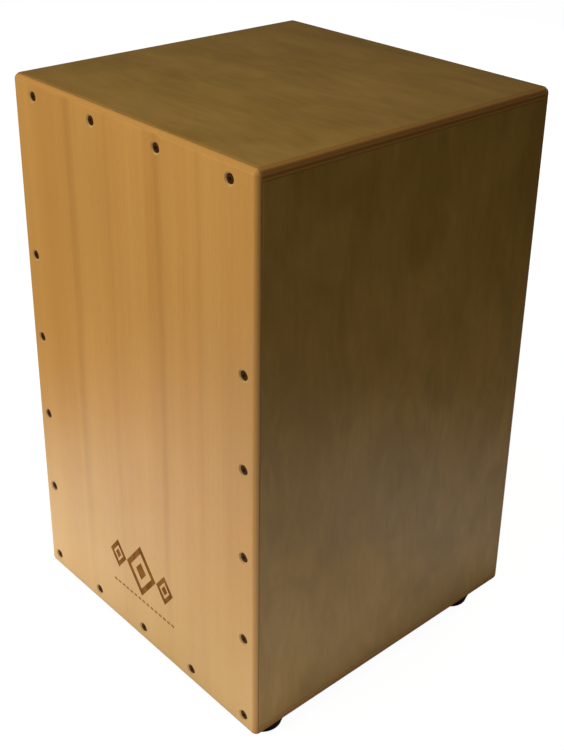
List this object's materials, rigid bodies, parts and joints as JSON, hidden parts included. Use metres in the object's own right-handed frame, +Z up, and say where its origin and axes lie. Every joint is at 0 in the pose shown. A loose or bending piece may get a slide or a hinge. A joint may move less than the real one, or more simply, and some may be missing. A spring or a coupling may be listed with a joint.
{
  "type": "cajon",
  "caption": "Box drum: plywood body, thin front striking plate held by countersunk screws, round rear sound hole, rubber feet, and an inner snare bar that tilts against the plate.",
  "frame": {"origin": "on the floor, under the middle of the box", "axes": "+Z up; the tapa faces -Y and the sound hole faces +Y; +X is to the right of someone looking at the tapa"},
  "size_m": [0.3, 0.302, 0.487],
  "materials": {
    "tapa_veneer": "satin lacquered beech veneer",
    "birch_ply": "satin lacquered birch plywood",
    "batten_wood": "plain sanded softwood",
    "black_rubber": "matt moulded rubber",
    "black_steel": "black oxide",
    "zinc_steel": "bright zinc plate",
    "wire_steel": "plain spring wire",
    "grey_felt": "pressed felt"
  },
  "bodies": {
    "drum_body": {"back_panel": "birch_ply", "block_screw_left": "zinc_steel", "block_screw_right": "zinc_steel", "bottom_panel": "birch_ply", "foot_front_left": "black_rubber", "foot_front_right": "black_rubber", "foot_rear_left": "black_rubber", "foot_rear_right": "black_rubber", "foot_screw_front_left": "zinc_steel", "foot_screw_front_right": "zinc_steel", "foot_screw_rear_left": "zinc_steel", "foot_screw_rear_right": "zinc_steel", "foot_washer_front_left": "zinc_steel", "foot_washer_front_right": "zinc_steel", "foot_washer_rear_left": "zinc_steel", "foot_washer_rear_right": "zinc_steel", "front_rail_bottom": "batten_wood", "front_rail_top": "batten_wood", "front_stile_left": "batten_wood", "front_stile_right": "batten_wood", "pivot_block_left": "batten_wood", "pivot_block_right": "batten_wood", "rear_rail_bottom": "batten_wood", "rear_rail_top": "batten_wood", "rear_stile_left": "batten_wood", "rear_stile_right": "batten_wood", "side_panel_left": "birch_ply", "side_panel_right": "birch_ply", "tapa": "tapa_veneer", "tapa_screw_01": "black_steel", "tapa_screw_02": "black_steel", "tapa_screw_03": "black_steel", "tapa_screw_04": "black_steel", "tapa_screw_05": "black_steel", "tapa_screw_06": "black_steel", "tapa_screw_07": "black_steel", "tapa_screw_08": "black_steel", "tapa_screw_09": "black_steel", "tapa_screw_10": "black_steel", "tapa_screw_11": "black_steel", "tapa_screw_12": "black_steel", "tapa_screw_13": "black_steel", "tapa_screw_14": "black_steel", "tapa_screw_15": "black_steel", "tapa_screw_16": "black_steel", "tapa_screw_17": "black_steel", "top_panel": "birch_ply"},
    "snare_assembly": {"felt_washer_left": "grey_felt", "felt_washer_right": "grey_felt", "lever_tip": "batten_wood", "pivot_pin_left": "zinc_steel", "pivot_pin_right": "zinc_steel", "snare_bar": "batten_wood", "snare_lever": "zinc_steel", "snare_screw_1": "zinc_steel", "snare_screw_2": "zinc_steel", "snare_screw_3": "zinc_steel", "snare_screw_4": "zinc_steel", "snare_set_left": "wire_steel", "snare_set_right": "wire_steel"}
  },
  "joints": [
    {"name": "snare_bar_tilt", "type": "hinge", "parent": "drum_body", "child": "snare_assembly", "pos_m": [0, -0.113, 0.358], "axis": [-1, 0, 0], "range_deg": [0, 20]}
  ]
}
